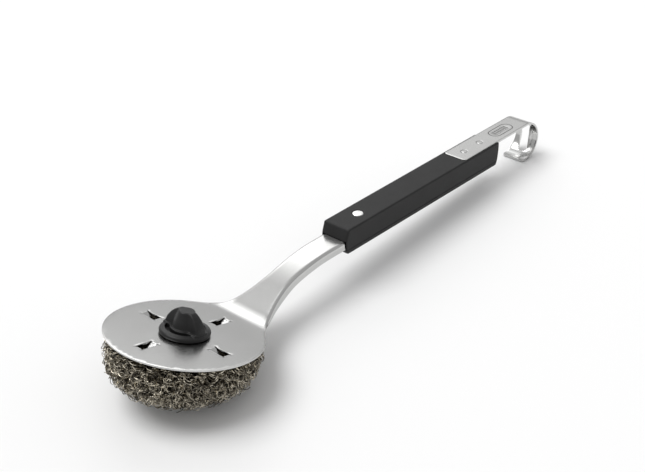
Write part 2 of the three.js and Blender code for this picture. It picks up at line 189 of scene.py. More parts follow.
def skin(name, field, xs, ys, zs):
    """The closed surface where field(x, y, z) turns from negative inside to positive outside."""
    grid = np.meshgrid(xs, ys, zs, indexing="ij")
    f = field(*grid)
    for axis in range(3):
        for end in (0, -1):
            wall = [slice(None)] * 3
            wall[axis] = end
            f[tuple(wall)] = np.maximum(f[tuple(wall)], 1e-3)
    cells = tuple(n - 1 for n in f.shape)
    total = np.zeros(cells + (3,))
    count = np.zeros(cells)
    crossings = []
    for axis in range(3):
        low = [slice(None)] * 3
        high = [slice(None)] * 3
        low[axis], high[axis] = slice(0, -1), slice(1, None)
        a, b = f[tuple(low)], f[tuple(high)]
        cross = (a < 0) != (b < 0)
        share = np.where(cross, a / np.where(cross, a - b, 1.0), 0.0)
        point = np.stack([g[tuple(low)] + share * (g[tuple(high)] - g[tuple(low)]) for g in grid], -1)
        u, v = [k for k in range(3) if k != axis]
        for du in (0, 1):
            for dv in (0, 1):
                part = [slice(None)] * 3
                part[u] = slice(du, f.shape[u] - 1 + du)
                part[v] = slice(dv, f.shape[v] - 1 + dv)
                hit = cross[tuple(part)]
                total += np.where(hit[..., None], point[tuple(part)], 0.0)
                count += hit
        crossings.append((axis, cross, a < 0))
    used = count > 0
    index = np.full(cells, -1)
    index[used] = np.arange(used.sum())
    points = total[used] / count[used][:, None]
    faces = []
    for axis, cross, inside in crossings:
        u, v = [(1, 2), (2, 0), (0, 1)][axis]
        where = np.argwhere(cross)
        here = inside[cross]
        corner = []
        for du, dv in ((1, 1), (0, 1), (0, 0), (1, 0)):
            cell = where.copy()
            cell[:, u] -= du
            cell[:, v] -= dv
            corner.append(index[tuple(cell.T)])
        quads = np.stack(corner, 1)
        faces.append(np.where(here[:, None], quads, quads[:, ::-1]))
    return mesh_of(name, points, np.concatenate(faces))


def smooth_min(a, b, k):
    """The smaller of two fields, blended over k millimetres where they meet."""
    h = np.clip(0.5 + 0.5 * (b - a) / k, 0, 1)
    return b * (1 - h) + a * h - k * h * (1 - h)


def smooth_max(a, b, k):
    return -smooth_min(-a, -b, k)


def rounded_box(x, y, half_x, half_y, r):
    """Distance to a rectangle with corners of radius r."""
    qx = np.abs(x) - half_x + r
    qy = np.abs(y) - half_y + r
    return np.hypot(np.maximum(qx, 0), np.maximum(qy, 0)) + np.minimum(np.maximum(qx, qy), 0) - r


def slab(v, low, high):
    """Distance to the space between two parallel planes."""
    return np.maximum(low - v, v - high)


def half_plane(x, z, x0, z0, x1, z1):
    """Distance to the left of the line from (x0, z0) to (x1, z1)."""
    dx, dz = x1 - x0, z1 - z0
    return ((z - z0) * dx - (x - x0) * dz) / math.hypot(dx, dz)


def lathe(name, outline, segments=96, start=0.0, sweep=2 * math.pi):
    """Revolves a closed outline of (radius, z) points about the Z axis."""
    outline = np.array(outline, float)
    whole = sweep > 2 * math.pi - 1e-6
    columns = segments if whole else segments + 1
    angles = start + sweep * np.arange(columns) / segments
    points = np.stack([
        np.outer(np.cos(angles), outline[:, 0]),
        np.outer(np.sin(angles), outline[:, 0]),
        np.outer(np.ones(columns), outline[:, 1]),
    ], -1).reshape(-1, 3)
    rows = len(outline)
    faces = []
    for i in range(segments):
        j = (i + 1) % columns
        for k in range(rows):
            m = (k + 1) % rows
            faces.append((i * rows + k, j * rows + k, j * rows + m, i * rows + m))
    mesh = bpy.data.meshes.new(name)
    if not whole:
        faces.append(tuple(range(rows)))
        faces.append(tuple(reversed(range(segments * rows, segments * rows + rows))))
    mesh.from_pydata(points.tolist(), [], faces)
    weld(mesh)
    return mesh


def weld(mesh):
    """Welds doubled points and turns every face outwards."""
    bm = bmesh.new()
    bm.from_mesh(mesh)
    bmesh.ops.remove_doubles(bm, verts=bm.verts, dist=1e-5)
    bmesh.ops.recalc_face_normals(bm, faces=bm.faces)
    bm.to_mesh(mesh)
    bm.free()


def sheet_solid(name, outline, holes, seeds, place, thickness, marks=()):
    """A cut sheet: the area inside the outline and outside the holes, with its thickness.

    place(u, v, depth) puts points of the flat blank, at a depth below its top face, in their frame.
    marks are (loop, depth) pairs: the top's faces inside the loop are sunk by depth and get the second
    material. A face belongs to the last loop that it is in, and a depth of 0 leaves it as it is."""
    corners, edges = [], []
    for loop in [outline, *holes, *(loop for loop, _ in marks)]:
        first = len(corners)
        corners.extend(loop)
        edges.extend((first + i, first + (i + 1) % len(loop)) for i in range(len(loop)))
    corners.extend(seeds)
    points, _, faces, _, _, _ = delaunay_2d_cdt([Vector(p) for p in corners], edges, [], 0, 1e-6)
    flat = np.array([p[:] for p in points])
    faces = np.array([f for f in faces if len(f) == 3])
    middle = flat[faces].mean(1)
    keep = inside_loop(middle, outline)
    for hole in holes:
        keep &= ~inside_loop(middle, hole)
    faces, middle = faces[keep], middle[keep]
    used = np.unique(faces)
    renumber = np.full(len(flat), -1)
    renumber[used] = np.arange(len(used))
    flat, faces = flat[used], renumber[faces]
    bm = bmesh.new()
    top = [bm.verts.new((u, v, 0)) for u, v in flat]
    low = [bm.verts.new((u, v, -thickness)) for u, v in flat]
    sunk = {}
    for f, m in zip(faces, middle):
        face = bm.faces.new([top[i] for i in f])
        bm.faces.new([low[i] for i in reversed(f)])
        for number, (loop, _) in enumerate(marks):
            if inside_loop(m[None], loop)[0]:
                sunk[face] = number
    for a, b in rim_edges(faces):
        bm.faces.new([top[b], top[a], low[a], low[b]])
    for number, (_, depth) in enumerate(marks):
        if not depth:
            continue
        chosen = [face for face, n in sunk.items() if n == number]
        made = bmesh.ops.inset_region(bm, faces=chosen, thickness=0.06, depth=-depth, use_even_offset=True)
        for face in [*chosen, *made["faces"]]:
            face.material_index = 1
    bm.normal_update()
    co = np.array([v.co[:] for v in bm.verts])
    moved = place(co[:, 0], co[:, 1], -co[:, 2])
    for vert, p in zip(bm.verts, moved):
        vert.co = p
    bmesh.ops.recalc_face_normals(bm, faces=bm.faces)
    mesh = bpy.data.meshes.new(name)
    bm.to_mesh(mesh)
    bm.free()
    return mesh


def rim_edges(faces):
    """The edges that only one triangle has, each in that triangle's direction."""
    edges = {}
    for a, b, c in faces.tolist():
        edges.update({(a, b): None, (b, c): None, (c, a): None})
    return [(a, b) for a, b in edges if (b, a) not in edges]


def inside_loop(points, loop):
    """Which points lie inside a closed loop of (u, v) corners."""
    x, y = points[:, 0], points[:, 1]
    found = np.zeros(len(points), bool)
    for i in range(len(loop)):
        (x0, y0), (x1, y1) = loop[i - 1], loop[i]
        if y0 == y1:
            continue
        across = (y0 > y) != (y1 > y)
        found ^= across & (x < (x1 - x0) * (y - y0) / (y1 - y0) + x0)
    return found


def in_any_loop(point, loops):
    return any(inside_loop(np.array([point]), loop)[0] for loop in loops)


def arc(cx, cy, r, start, end, count):
    """Points on a circle from one angle to another, both ends included."""
    angles = np.linspace(start, end, count + 1)
    return [(cx + r * math.cos(a), cy + r * math.sin(a)) for a in angles]


# ---------------- materials
def new_material(name, colour, metallic, roughness, **values):
    """A Principled material; other sockets are named with _ for each space."""
    material = bpy.data.materials.new(name)
    material.use_nodes = True
    tree = material.node_tree
    bsdf = tree.nodes["Principled BSDF"]
    bsdf.inputs["Base Color"].default_value = (*colour, 1)
    bsdf.inputs["Metallic"].default_value = metallic
    bsdf.inputs["Roughness"].default_value = roughness
    for socket, value in values.items():
        bsdf.inputs[socket.replace("_", " ")].default_value = value
    return material, tree, bsdf


def noise(tree, per_mm, detail=2.0, stretch=(1, 1, 1), rough=0.5):
    """A noise pattern fixed to the piece, with about that many features per millimetre."""
    coord = tree.nodes.new("ShaderNodeTexCoord")
    mapping = tree.nodes.new("ShaderNodeMapping")
    mapping.inputs["Scale"].default_value = stretch
    tex = tree.nodes.new("ShaderNodeTexNoise")
    tex.inputs["Scale"].default_value = per_mm / MM
    tex.inputs["Detail"].default_value = detail
    tex.inputs["Roughness"].default_value = rough
    tree.links.new(coord.outputs["Object"], mapping.inputs["Vector"])
    tree.links.new(mapping.outputs["Vector"], tex.inputs["Vector"])
    return tex.outputs["Fac"]


def vary(tree, fac, socket, low, high, span=(0.3, 0.7)):
    """Drives a number socket between low and high with a pattern."""
    node = tree.nodes.new("ShaderNodeMapRange")
    node.inputs["From Min"].default_value, node.inputs["From Max"].default_value = span
    node.inputs["To Min"].default_value, node.inputs["To Max"].default_value = low, high
    tree.links.new(fac, node.inputs["Value"])
    tree.links.new(node.outputs["Result"], socket)


def tint(tree, fac, socket, low, high, span=(0.3, 0.7)):
    """Drives a colour socket between two colours with a pattern."""
    node = tree.nodes.new("ShaderNodeValToRGB")
    node.color_ramp.elements[0].position, node.color_ramp.elements[1].position = span
    node.color_ramp.elements[0].color = (*low, 1)
    node.color_ramp.elements[1].color = (*high, 1)
    tree.links.new(fac, node.inputs["Fac"])
    tree.links.new(node.outputs["Color"], socket)


def bump(tree, bsdf, fac, height_mm, strength=1.0):
    """Raises a material's surface with a pattern."""
    node = tree.nodes.new("ShaderNodeBump")
    node.inputs["Strength"].default_value = strength
    node.inputs["Distance"].default_value = height_mm * MM
    tree.links.new(fac, node.inputs["Height"])
    tree.links.new(node.outputs["Normal"], bsdf.inputs["Normal"])


def satin_steel():
    material, tree, bsdf = new_material("satin_steel", (0.6, 0.6, 0.593), 1.0, 0.17)
    tint(tree, noise(tree, 0.05, 3), bsdf.inputs["Base Color"], (0.545, 0.545, 0.538), (0.57, 0.57, 0.563))
    grain = noise(tree, 3.0, 2, (0.12, 1.0, 1.0))
    vary(tree, grain, bsdf.inputs["Roughness"], 0.2, 0.24)
    bump(tree, bsdf, grain, 0.0004, 0.3)
    return material


def etched_steel():
    material, tree, bsdf = new_material("etched_steel", (0.22, 0.22, 0.22), 1.0, 0.5)
    tint(tree, noise(tree, 2.0, 3), bsdf.inputs["Base Color"], (0.14, 0.14, 0.14), (0.3, 0.3, 0.295))
    vary(tree, noise(tree, 1.5), bsdf.inputs["Roughness"], 0.42, 0.6)
    return material


def zinc_steel():
    material, tree, bsdf = new_material("zinc_steel", (0.6, 0.62, 0.64), 1.0, 0.3)
    spangle = noise(tree, 0.6, 3)
    tint(tree, spangle, bsdf.inputs["Base Color"], (0.52, 0.54, 0.56), (0.68, 0.69, 0.7))
    vary(tree, noise(tree, 2.0, 2), bsdf.inputs["Roughness"], 0.24, 0.42)
    bump(tree, bsdf, spangle, 0.01, 0.3)
    return material


def rivet_steel():
    material, tree, bsdf = new_material("rivet_steel", (0.8, 0.8, 0.79), 1.0, 0.25)
    wear = noise(tree, 1.5, 3)
    tint(tree, wear, bsdf.inputs["Base Color"], (0.74, 0.74, 0.73), (0.86, 0.86, 0.85))
    vary(tree, wear, bsdf.inputs["Roughness"], 0.2, 0.34)
    bump(tree, bsdf, noise(tree, 3.0), 0.002, 0.4)
    return material


def scourer_wire():
    material, tree, bsdf = new_material("scourer_wire", (0.5, 0.44, 0.34), 1.0, 0.25)
    tint(tree, noise(tree, 0.35, 3), bsdf.inputs["Base Color"], (0.045, 0.038, 0.028), (0.86, 0.79, 0.65),
         (0.42, 0.64))
    vary(tree, noise(tree, 1.2, 2), bsdf.inputs["Roughness"], 0.12, 0.32)
    return material


# Painted shade: a near-black metal for the pad's core, standing for the shaded inside of the pad's ribbon;
# the same noise also gives it real bumps.
def scourer_painted_shade():
    material, tree, bsdf = new_material("scourer_painted_shade", (0.05, 0.04, 0.03), 1.0, 0.5)
    shade_and_bumps = noise(tree, 0.7, 4)
    tint(tree, shade_and_bumps, bsdf.inputs["Base Color"], (0.006, 0.005, 0.004), (0.07, 0.06, 0.045), (0.45, 0.7))
    vary(tree, shade_and_bumps, bsdf.inputs["Roughness"], 0.35, 0.6)
    bump(tree, bsdf, shade_and_bumps, 0.6, 1.0)
    return material


def black_plastic(name, shade, roughness, gloss):
    material, tree, bsdf = new_material(name, (shade, shade, shade), 0.0, roughness, Specular_IOR_Level=gloss)
    tint(tree, noise(tree, 0.08, 3), bsdf.inputs["Base Color"],
         (shade * 0.85,) * 3, (shade * 1.15, shade * 1.15, shade * 1.17))
    grain = noise(tree, 2.2, 2)
    vary(tree, grain, bsdf.inputs["Roughness"], roughness - 0.06, roughness + 0.06)
    bump(tree, bsdf, grain, 0.015, 0.5)
    return material


STEEL = satin_steel()
ETCHED = etched_steel()
ZINC = zinc_steel()
RIVET = rivet_steel()
WIRE = scourer_wire()
PAD_SHADE = scourer_painted_shade()
HANDLE_BLACK = black_plastic("handle_plastic", 0.0125, 0.5, 0.26)
KNOB_BLACK = black_plastic("knob_plastic", 0.009, 0.4, 0.34)


# ---------------- head plate
def plate_profile():
    """Top line of the plate seen from the side: arrays of x, z and heading."""
    past_tang = 220.0
    runs = [(DISC_R + BEND_START, 0.0), (BEND_R * RISE, RISE), (RISE_LEN, 0.0)]
    runs += [(CROWN_R * (RISE - PITCH), PITCH - RISE), (past_tang, 0.0)]
    xs, zs, headings = [-DISC_R], [0.0], [0.0]
    heading = 0.0
    for length, turn in runs:
        count = max(2, round(length / 0.5))
        for _ in range(count):
            heading += turn / count / 2
            xs.append(xs[-1] + length / count * math.cos(heading))
            zs.append(zs[-1] + length / count * math.sin(heading))
            heading += turn / count / 2
            headings.append(heading)
    return np.array(xs), np.array(zs), np.array(headings)


PROFILE = plate_profile()

# The flare is an arc that leaves the disc at the angle FLARE_MEET and ends along the shank at NECK_U.
FLARE_R = (NECK_U**2 / (DISC_R - NECK_W) - DISC_R - NECK_W) / 2
FLARE_MEET = math.atan2(NECK_W + FLARE_R, NECK_U)
MOUTH_END = HANDLE_X + 8 * math.cos(PITCH)
TANG_END = HANDLE_X + (HANDLE_L - 6) * math.cos(PITCH)


def plate_half_width(x):
    """Half width of the finished plate past the middle of the disc."""
    disc = np.sqrt(np.maximum(DISC_R**2 - x**2, 0))
    flare = NECK_W + FLARE_R - np.sqrt(np.maximum(FLARE_R**2 - (x - NECK_U) ** 2, 0))
    shank = NECK_W + (MOUTH_W - NECK_W) * (x - NECK_U) / (MOUTH_END - NECK_U)
    meet = DISC_R * math.cos(FLARE_MEET)
    return np.where(x < meet, disc, np.where(x < NECK_U, flare, shank))


def smooth_step(x, start, end):
    t = np.clip((x - start) / (end - start), 0, 1)
    return t * t * (3 - 2 * t)


def flange_run(x):
    """How sharply the plate's edge turns down (0 to 1), and how much blank lies past the turn's start."""
    turn = smooth_step(x, FLANGE_START, FLANGE_START + 9)
    depth = FLANGE_R + (FLANGE_DEPTH - FLANGE_R) * smooth_step(x, FLANGE_START, FLANGE_FULL)
    full = FLANGE_R * math.pi / 2 + depth - FLANGE_R
    return turn, FLANGE_R * (1 - turn) + full * turn


def fold_edges(u, v, depth):
    """Turns the shank's edges down: the new y, and the drop below the plate's top face."""
    side, reach = np.sign(v), np.abs(v)
    turn, _ = flange_run(u)
    start = plate_half_width(u) - FLANGE_R
    past = np.where((u > FLANGE_START) & (u < MOUTH_END + 0.5), reach - start, 0)
    bent = np.minimum(np.maximum(past, 0), FLANGE_R * math.pi / 2)
    angle = turn * bent / FLANGE_R
    k = np.where(turn > 1e-4, turn / FLANGE_R, 1)
    over = np.where(turn > 1e-4, np.sin(angle) / k, bent)
    down = np.where(turn > 1e-4, (1 - np.cos(angle)) / k, 0)
    rest = np.maximum(past - bent, 0)
    edge = past > 0
    y = np.where(edge, side * (start + over + rest * np.cos(angle) - depth * np.sin(angle)), v)
    drop = np.where(edge, down + rest * np.sin(angle) + depth * np.cos(angle), depth)
    return y, drop


def quarter_turn(quarter):
    """Cosine and sine of so many quarter turns, for the slots round the disc."""
    return math.cos(quarter * math.pi / 2), math.sin(quarter * math.pi / 2)


def place_on_plate(u, v, depth):
    """Folds the blank's edges down, curls its claws down, then bends it along the plate's profile."""
    x = u.copy()
    y, drop = fold_edges(u, v, depth)
    for quarter in range(4):
        c, s = quarter_turn(quarter)
        p = c * u + s * v - SLOT_R
        q = -s * u + c * v
        past = SLOT_L / 2 - np.abs(p)
        claw = (past > 0) & (np.abs(p) < SLOT_L / 2) & (np.abs(q) < CLAW_W / 2 + 0.02)
        a = np.minimum(past / CLAW_R, CLAW_TURN)
        rest = past - a * CLAW_R
        along = np.sign(p) * (SLOT_L / 2 - (CLAW_R - depth) * np.sin(a) - rest * np.cos(a)) + SLOT_R
        x = np.where(claw, c * along - s * q, x)
        y = np.where(claw, s * along + c * q, y)
        drop = np.where(claw, CLAW_R - (CLAW_R - depth) * np.cos(a) + rest * np.sin(a), drop)
    height = np.interp(x, PROFILE[0], PROFILE[1])
    heading = np.interp(x, PROFILE[0], PROFILE[2])
    return np.stack([x + drop * np.sin(heading), y, height - drop * np.cos(heading)], 1)


def plate_outline():
    """The flat blank's outline: disc, flare, shank with its edges unfolded, and the narrower tang."""
    meet = DISC_R * math.cos(FLARE_MEET)
    half = arc(0, 0, DISC_R, math.pi, FLARE_MEET, 110)
    for x in np.arange(meet + 1, MOUTH_END, 1.0):
        _, run = flange_run(np.array(x))
        flat = float(plate_half_width(np.array(x)))
        half.append((x, flat if x < FLANGE_START else flat - FLANGE_R + float(run)))
    _, run = flange_run(np.array(MOUTH_END))
    half.append((MOUTH_END, float(plate_half_width(np.array(MOUTH_END)) - FLANGE_R + run)))
    half += [(MOUTH_END, TANG_W), (TANG_END - 3, TANG_W), (TANG_END, TANG_W - 3)]
    return half + [(x, -y) for x, y in reversed(half[1:])]


def slot_outline(quarter):
    """A punched slot: an H round two tongues, with small relief corners at the tongues' roots."""
    tip = SLOT_L / 2 - CLAW_L
    end = SLOT_L / 2
    corner = [(tip, CLAW_W / 2), (end, CLAW_W / 2)]
    corner += arc(end, SLOT_W / 2 - 0.05, SLOT_RELIEF, -math.pi / 2, math.pi / 2 + 0.6, 6)[1:]
    corner += [(end - 0.6, SLOT_W / 2)]
    side = corner + [(-p, q) for p, q in reversed(corner)]
    loop = side + [(-p, -q) for p, q in side]
    c, s = quarter_turn(quarter)
    return [(c * (p + SLOT_R) - s * q, s * (p + SLOT_R) + c * q) for p, q in loop]


def plate_seeds():
    """Points inside the blank: even over the disc, in rows over the neck, close together on the folds."""
    seeds = []
    for row, y in enumerate(np.arange(-48, 48.1, 2.2)):
        for x in np.arange(-48 + 1.25 * (row % 2), 47, 2.5):
            if math.hypot(x, y) < DISC_R - 1.2:
                seeds.append((x, y))
    for x in np.arange(45.3, MOUTH_END - 0.4, 1.0):
        start = float(plate_half_width(np.array(x))) - FLANGE_R
        _, run = flange_run(np.array(x))
        for t in np.linspace(-1, 1, 13):
            seeds.append((x, t * start))
        for t in np.linspace(0.1, 0.93, 8):
            seeds.extend([(x, start + t * float(run)), (x, -start - t * float(run))])
    for x in np.arange(MOUTH_END + 1, TANG_END - 3, 4.0):
        seeds.extend([(x, -3.5), (x, 0.5), (x, 3.5)])
    for quarter in range(4):
        c, s = quarter_turn(quarter)
        for p in np.arange(SLOT_L / 2 - CLAW_L + 0.5, SLOT_L / 2 + 0.6, 0.42):
            for q in (-1.6, -0.8, 0.0, 0.8, 1.6):
                for sign in (-1, 1):
                    seeds.append((c * (sign * p + SLOT_R) - s * q, s * (sign * p + SLOT_R) + c * q))
    return seeds


def build_head_plate():
    holes = [arc(0, 0, STUD_R + 0.5, 0, 2 * math.pi, 32)[:-1]]
    holes += [slot_outline(quarter) for quarter in range(4)]
    for s, _, _ in RIVETS.values():
        x = HANDLE_X + s * math.cos(PITCH) - TANG_T * math.sin(PITCH)
        holes.append(arc(x, 0, RIVET_TUBE_R + GAP, 0, 2 * math.pi, 24)[:-1])
    seeds = [p for p in plate_seeds() if not in_any_loop(p, holes)]
    mesh = sheet_solid("head_plate", plate_outline(), holes, seeds, place_on_plate, PLATE_T)
    add_piece("head_plate_sheet", mesh, HEAD, "frame", STEEL, ["head_plate"],
              0.07, 25)


# ---------------- knob and clamp
def knob_base(r, z):
    """The round foot and a low cone on it, with a well for the wing to stand in."""
    foot = rounded_box(r, z - (GAP + KNOB_RIM) / 2, KNOB_R, (KNOB_RIM - GAP) / 2, 1.3)
    cone = smooth_max(slab(z, 1.0, 5.0), r - (KNOB_R - 1.0 - np.maximum(z - KNOB_RIM, 0) * 3.2), 0.8)
    well = np.maximum(r - 12.4, 1.9 - z)
    return np.maximum(smooth_min(foot, cone, 0.8), -well)


def knob_ledge(x, r, z):
    """The raised ledge that the wing and its hub stand on."""
    plan = smooth_min(np.abs(x) - 5.5, r - 9.5, 1.0)
    return np.maximum(np.maximum(plan, r - KNOB_R + 0.8), slab(z, 1.0, 4.7))


def knob_wing(x, r, z):
    """The upright wing that the fingers turn, and the hub in its middle."""
    thick = 4.4 - 1.8 * np.clip(z / KNOB_H, 0, 1) ** 1.4
    rim = np.interp(z, [0, KNOB_RIM, 8, 11.6, 13.9, KNOB_H], [15.4, 15.1, 13.7, 11.2, 8.6, 6.2])
    wing = smooth_max(np.abs(x) - thick, r - rim, 1.0)
    hub = r - np.interp(z, [0, 4, 9, 13, KNOB_H], [8.6, 8.2, 7.2, 5.8, 5.0])
    grip = smooth_max(smooth_min(wing, hub, 1.0), z - KNOB_H, 0.9)
    return np.maximum(grip, 1 - z)


def knob_hollow(x, y, r, z):
    """Room for the stud's head, the stud and the washer."""
    socket = np.maximum(hexagon(x, y, STUD_HEAD_R * 0.866 + GAP), slab(z, 5.0, 9.3))
    bore = np.maximum(r - STUD_R - GAP, z - 6)
    seat = np.maximum(r - 9, z - 1.5)
    return np.minimum(np.minimum(socket, bore), seat)


def knob_field(x, y, z):
    r = np.hypot(x, y)
    foot = smooth_min(knob_base(r, z), knob_ledge(x, r, z), 0.15)
    knob = smooth_min(foot, knob_wing(x, r, z), 0.25)
    return np.maximum(knob, -knob_hollow(x, y, r, z))


def hexagon(x, y, flat):
    """Distance to a hexagon whose flats lie at that distance from its middle."""
    a = np.abs(x)
    b = np.abs(y)
    return np.maximum(b - flat, a * 0.8660254 + b * 0.5 - flat)


def build_knob():
    span = steps((-16.8, 16.8, 0.35))
    mesh = skin("knob_grip", knob_field, span, span, steps((-0.2, KNOB_H + 0.9, 0.35)))
    add_piece("knob_grip_moulding", mesh, HEAD, "knob", KNOB_BLACK, ["knob_grip"], sharp=60)


def build_stud():
    """Threaded stud, the neck for its retaining ring, and its hexagonal head inside the knob."""
    rows = []
    columns = 48
    neck_r = STUD_R - NECK_DEPTH
    angles = 2 * math.pi * np.arange(columns) / columns
    for z in np.arange(STUD_END, -3.2, THREAD / 8):
        wave = np.abs(((z / THREAD - angles / (2 * math.pi)) % 1.0) - 0.5) * 2
        fade = min(1.0, (z - STUD_END) / 1.2)
        rows.append((STUD_R - THREAD_DEPTH + THREAD_DEPTH * wave * fade - 0.2 * (1 - fade), z))
    for r, z in ((STUD_R, -3.0), (STUD_R, -2.92), (neck_r, -2.88), (neck_r, -1.92),
                 (STUD_R, -1.88), (STUD_R, 5.3)):
        rows.append((np.full(columns, r), z))
    for z in (5.35, 8.6):
        rows.append((STUD_HEAD_FLAT / np.cos((angles + math.pi / 6) % (math.pi / 3) - math.pi / 6), z))
    rows.append((np.full(columns, 4.6), 9.0))
    points = [(r * math.cos(a), r * math.sin(a), z) for ring, z in rows for r, a in zip(ring, angles)]
    faces = []
    for k in range(len(rows) - 1):
        for i in range(columns):
            j = (i + 1) % columns
            faces.append((k * columns + i, k * columns + j, (k + 1) * columns + j, (k + 1) * columns + i))
    faces.append(tuple(reversed(range(columns))))
    faces.append(tuple(range((len(rows) - 1) * columns, len(rows) * columns)))
    mesh = bpy.data.meshes.new("knob_stud")
    mesh.from_pydata(points, [], faces)
    weld(mesh)
    add_piece("knob_stud_thread", mesh, HEAD, "knob", ZINC, ["knob_stud"], sharp=35)


def build_washer():
    mesh = lathe("thrust_washer", [(STUD_R + 0.5, GAP), (8.4, GAP), (8.4, 1.2), (STUD_R + 0.5, 1.2)])
    add_piece("thrust_washer_ring", mesh, HEAD, "frame", ZINC, ["thrust_washer"], 0.15)


def build_retaining_ring():
    outline = [(STUD_R - 0.2, -2.8), (5.4, -2.8), (5.4, -2.0), (STUD_R - 0.2, -2.0)]
    opening = math.radians(22)
    mesh = lathe("retaining_ring", outline, 64, opening, 2 * (math.pi - opening))
    add_piece("retaining_ring_clip", mesh, HEAD, "knob", ZINC, ["retaining_ring"], 0.12)


def build_dish():
    top = DISH_TOP
    outline = [(STUD_R + 0.5, top), (10.8, top), (12.2, top - 0.25), (13.6, top - 0.9)]
    outline += [(15.2, top - 1.7), (16.1, top - 2.1), (DISH_R, top - 2.6), (DISH_R, top - 3.6)]
    outline += [(DISH_R - DISH_T, top - 3.6), (DISH_R - DISH_T, top - 3.0), (14.6, top - 2.7)]
    outline += [(13.0, top - 1.9), (11.6, top - 1.35), (10.6, top - DISH_T), (STUD_R + 0.5, top - DISH_T)]
    add_piece("clamp_dish_pressing", lathe("clamp_dish", outline), HEAD, "clamp",
              STEEL, ["clamp_dish"], 0.12)


def build_nut():
    top = DISH_TOP - DISH_T - GAP

    def field(x, y, z):
        r = np.hypot(x, y)
        body = np.maximum(hexagon(x, y, 5.0), slab(z, top - 5, top))
        corners = (r - 5.15 + (np.abs(z - top + 2.5) - 2.5) * 1.5) * 0.55
        bore = r - STUD_R - 0.12 - np.maximum(0, np.abs(z - top + 2.5) - 2.1)
        return np.maximum(smooth_max(body, corners, 0.1), -bore)

    span = steps((-6.3, 6.3, 0.22))
    mesh = skin("clamp_nut", field, span, span, steps((top - 5.4, top + 0.4, 0.22)))
    add_piece("clamp_nut_hex", mesh, HEAD, "clamp", ZINC, ["clamp_nut"], sharp=50)


# ---------------- scouring pad
PAD = Matrix.Translation((PAD_X, 0, PAD_Z)) @ Matrix.Rotation(-PAD_TILT, 4, "Y")


def pad_core_field(x, y, z):
    """The pad's core under the curls, near-black as painted shade of the pad's shaded inside, CORE_INSET
    inside the pad, with room for clamp and claws.
    """
    back = np.array(PAD.inverted())
    px = back[0, 0] * x + back[0, 2] * z + back[0, 3]
    pz = back[2, 0] * x + back[2, 2] * z + back[2, 3]
    r, h = np.hypot(px, y) / (PAD_R - CORE_INSET), np.abs(pz) / (PAD_H - CORE_INSET)
    power = np.where(pz < 0, 2 / CORE_BELLY_POWER, 2 / SHOULDER_POWER)
    body = ((r**power + h**power) ** (1 / power) - 1) * (PAD_H - CORE_INSET)
    lump = 0.5 * np.sin(1.9 * x + 0.7 * z) * np.sin(1.7 * y) + 0.4 * np.sin(2.3 * z + 1.1 * y)
    body = body + 0.7 * lump
    up = np.array(HEAD)
    height = (up[2, 0] * x + up[2, 2] * z + up[2, 3]) / MM
    body = np.maximum(body, np.maximum(z - PAD_TOP + 0.6, 1.6 - height))
    hole = np.hypot(x, y)
    body = np.maximum(body, PAD_HOLE - hole)
    recess = np.maximum(hole - RECESS_R - 1.5, z - DISH_TOP - GAP)
    body = np.maximum(body, -recess)
    for c, s in ((1, 0), (0, 1), (-1, 0), (0, -1)):
        p, q = c * x + s * y - SLOT_R, -s * x + c * y
        pocket = np.maximum(np.maximum(np.abs(p) - POCKET_L, np.abs(q) - POCKET_W), POCKET_END - z)
        body = np.maximum(body, -pocket)
    return body


def pad_surface(angle):
    """Radius and height of the pad's outline in its own frame, and the outward direction there."""
    def at(a):
        c, s = np.maximum(np.cos(a), 1e-6), np.sin(a)
        power = np.where(a < 0, BELLY_POWER, SHOULDER_POWER)
        return PAD_R * c**power, PAD_H * np.sign(s) * np.maximum(np.abs(s), 1e-6) ** power

    r0, z0 = at(angle - 0.01)
    r1, z1 = at(angle + 0.01)
    r, z = at(angle)
    length = np.hypot(r1 - r0, z1 - z0)
    return r, z, (z1 - z0) / length, -(r1 - r0) / length


def curl_seats(rng, row_step, side_step, depth):
    """Where curls sit: points at a depth under the pad's surface, each with its outward direction."""
    fine = np.linspace(-math.pi / 2 + 0.02, 1.25, 600)
    r, z, _, _ = pad_surface(fine)
    run = np.concatenate([[0], np.cumsum(np.hypot(np.diff(r), np.diff(z)))])
    seats = []
    for row in np.arange(10.0, run[-1], row_step):
        angle = np.interp(row, run, fine)
        radius = float(pad_surface(np.array(angle))[0])
        count = max(6, int(2 * math.pi * radius / side_step))
        for k in range(count):
            a = np.interp(row + rng.uniform(-0.4, 0.4) * row_step, run, fine)
            turn = 2 * math.pi * (k + rng.uniform(-0.45, 0.45)) / count
            pr, pz, nr, nz = (float(v) for v in pad_surface(np.array(a)))
            out = Vector((nr * math.cos(turn), nr * math.sin(turn), nz))
            point = Vector((pr * math.cos(turn), pr * math.sin(turn), pz)) - out * depth
            seats.append((PAD @ point, PAD.to_3x3() @ out))
    return seats


